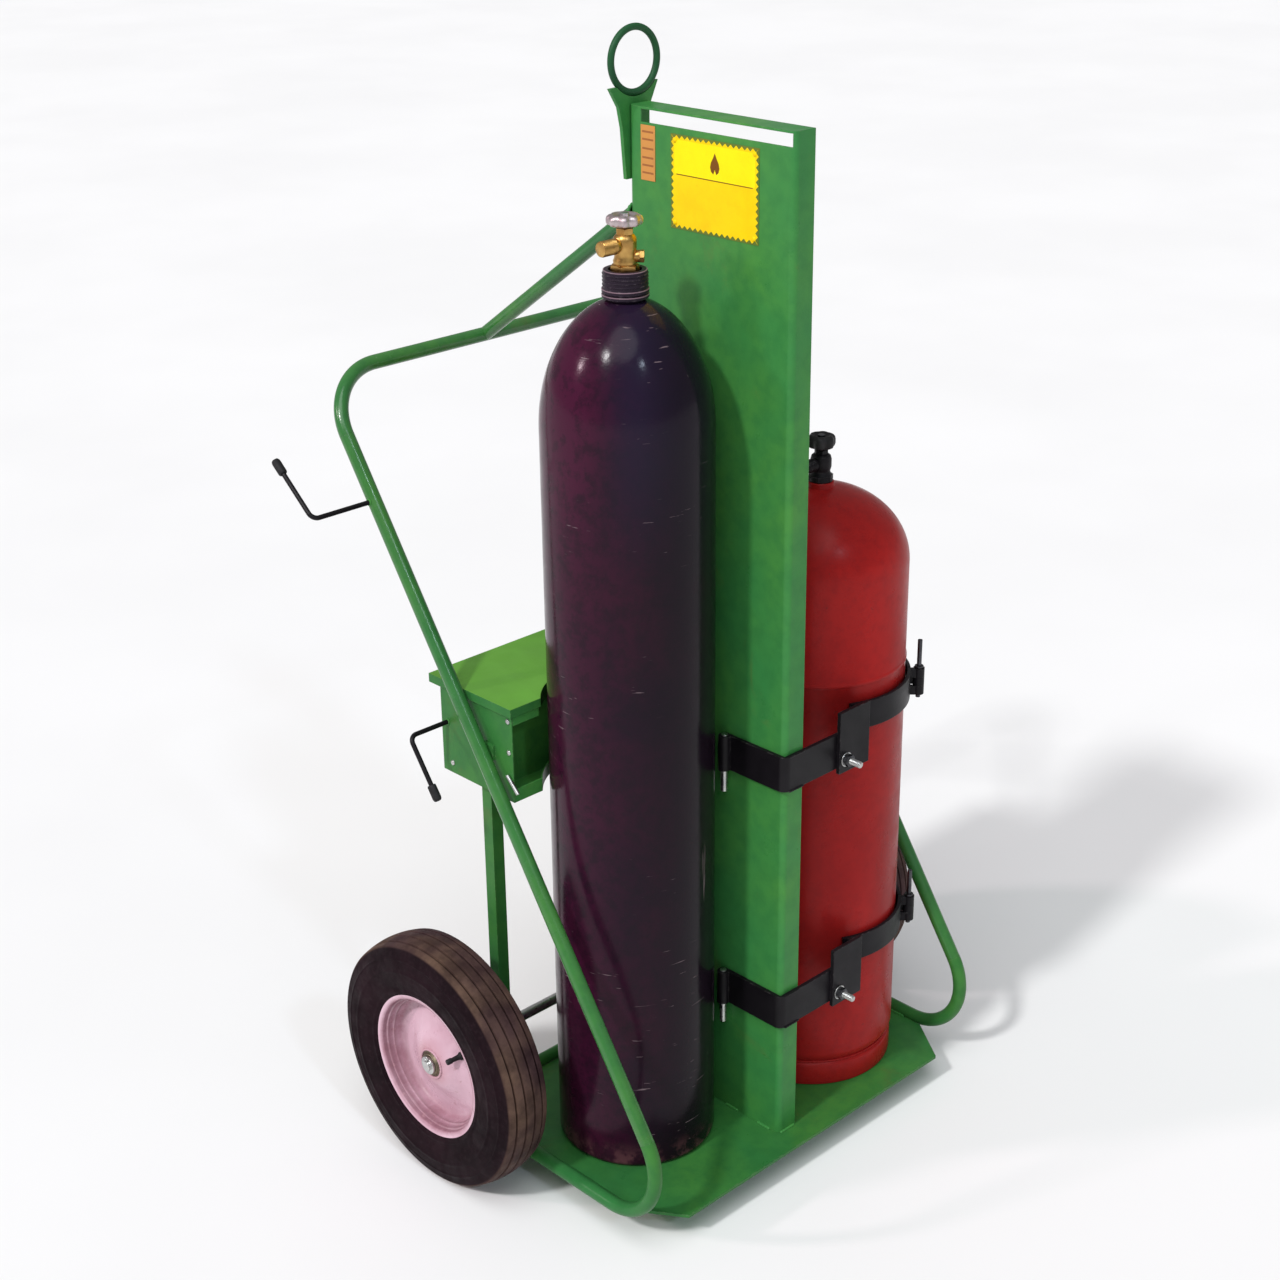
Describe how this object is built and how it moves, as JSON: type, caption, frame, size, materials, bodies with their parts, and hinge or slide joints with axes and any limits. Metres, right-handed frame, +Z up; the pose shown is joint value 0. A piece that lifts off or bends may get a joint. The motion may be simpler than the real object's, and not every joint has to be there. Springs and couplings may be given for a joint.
{
  "type": "gas welding cylinder cart",
  "caption": "Two-wheeled steel cart for a pair of upright gas cylinders, with a centre partition, lifting eye, toolbox, hinged retaining bands and hose hooks.",
  "frame": {"origin": "on the floor under the centre of the overall box", "axes": "+X to the right of a person facing the front, across the cart along the axle, +Y from the open front to the handle, +Z up"},
  "size_m": [0.9104, 0.6812, 1.6539],
  "materials": {
    "green_paint": "gloss enamel",
    "black_steel": "semi-gloss black enamel",
    "dark_pin": "oiled dark steel",
    "zinc": "zinc plated",
    "rubber_tip": "dipped rubber",
    "tyre": "matte ribbed tread",
    "rim_paint": "satin light enamel",
    "hub_metal": "greasy machined steel",
    "oxygen_paint": "gloss enamel with scuffs",
    "dark_neck": "worn dark enamel",
    "valve_brass": "satin forged brass",
    "grip_metal": "cast satin",
    "fuel_paint": "satin enamel",
    "black_valve": "satin black",
    "black_grip": "moulded",
    "label_yellow": "vinyl",
    "label_orange": "vinyl"
  },
  "bodies": {
    "cart": {"axle": "zinc", "base_plate": "green_paint", "base_rail_left": "green_paint", "base_rail_right": "green_paint", "cradle_left": "green_paint", "cradle_right": "green_paint", "eye_plate": "green_paint", "front_foot_left": "green_paint", "front_foot_right": "green_paint", "handle_bar": "green_paint", "handle_bend_left": "green_paint", "handle_bend_right": "green_paint", "handle_brace": "green_paint", "hook_lower_left": "black_steel", "hook_lower_right": "black_steel", "hook_tip_lower_left": "rubber_tip", "hook_tip_lower_right": "rubber_tip", "hook_tip_upper_left": "rubber_tip", "hook_tip_upper_right": "rubber_tip", "hook_upper_left": "black_steel", "hook_upper_right": "black_steel", "keeper_pin": "zinc", "lid_hinge_pin": "zinc", "lifting_eye": "green_paint", "lower_band_bar": "black_steel", "lower_band_hinge_pin": "dark_pin", "lower_band_rear": "black_steel", "lower_bar_pin": "zinc", "orange_placard": "label_orange", "partition": "green_paint", "rear_cross_tube": "green_paint", "rear_post_left": "green_paint", "rear_post_right": "green_paint", "side_tube_left": "green_paint", "side_tube_right": "green_paint", "toolbox": "green_paint", "upper_band_bar": "black_steel", "upper_band_hinge_pin": "dark_pin", "upper_band_rear": "black_steel", "upper_bar_pin": "zinc", "yellow_placard": "label_yellow"},
    "wheel_left": {"tyre_left": "tyre", "rim_left": "rim_paint", "hub_left": "hub_metal"},
    "wheel_right": {"tyre_right": "tyre", "rim_right": "rim_paint", "hub_right": "hub_metal"},
    "lid": {"toolbox_lid": "green_paint"},
    "upper_band": {"upper_band_front": "black_steel"},
    "lower_band": {"lower_band_front": "black_steel"},
    "upper_bolt": {"upper_clamp_bolt": "zinc"},
    "lower_bolt": {"lower_clamp_bolt": "zinc"},
    "oxygen": {"oxygen_cylinder": "oxygen_paint", "oxygen_neck_ring": "dark_neck", "oxygen_valve": "valve_brass"},
    "oxygen_grip": {"oxygen_handwheel": "grip_metal"},
    "fuel": {"fuel_cylinder": "fuel_paint", "fuel_valve": "black_valve"},
    "fuel_grip": {"fuel_handwheel": "black_grip"}
  },
  "joints": [
    {"name": "wheel_left_roll", "type": "hinge", "parent": "cart", "child": "wheel_left", "pos_m": [-0.408, 0.05, 0.196], "axis": [1, 0, 0], "continuous": true},
    {"name": "wheel_right_roll", "type": "hinge", "parent": "cart", "child": "wheel_right", "pos_m": [0.408, 0.05, 0.196], "axis": [1, 0, 0], "continuous": true},
    {"name": "lid_hinge", "type": "hinge", "parent": "cart", "child": "lid", "pos_m": [0, 0.127, 0.7575], "axis": [-1, 0, 0], "range_deg": [0, 100]},
    {"name": "upper_band_swing", "type": "hinge", "parent": "cart", "child": "upper_band", "pos_m": [0.278, -0.269, 0.691], "axis": [0, 0, 1], "range_deg": [0, 110]},
    {"name": "upper_bolt_turn", "type": "hinge", "parent": "upper_band", "child": "upper_bolt", "pos_m": [0.068, -0.309, 0.648], "axis": [0, -1, 0], "range_deg": [0, 1080]},
    {"name": "lower_band_swing", "type": "hinge", "parent": "cart", "child": "lower_band", "pos_m": [0.278, -0.269, 0.299], "axis": [0, 0, 1], "range_deg": [0, 110]},
    {"name": "lower_bolt_turn", "type": "hinge", "parent": "lower_band", "child": "lower_bolt", "pos_m": [0.068, -0.309, 0.256], "axis": [0, -1, 0], "range_deg": [0, 1080]},
    {"name": "oxygen_lift_out", "type": "slide", "parent": "cart", "child": "oxygen", "axis": [0, 0, 1], "range_m": [0, 0.3]},
    {"name": "oxygen_valve_turn", "type": "hinge", "parent": "oxygen", "child": "oxygen_grip", "pos_m": [-0.176, -0.121, 1.437], "axis": [0, 0, 1], "range_deg": [0, 1800]},
    {"name": "fuel_lift_out", "type": "slide", "parent": "cart", "child": "fuel", "axis": [0, 0, 1], "range_m": [0, 0.3]},
    {"name": "fuel_valve_turn", "type": "hinge", "parent": "fuel", "child": "fuel_grip", "pos_m": [0.173, -0.157, 1.066], "axis": [0, 0, 1], "range_deg": [0, 540]}
  ]
}
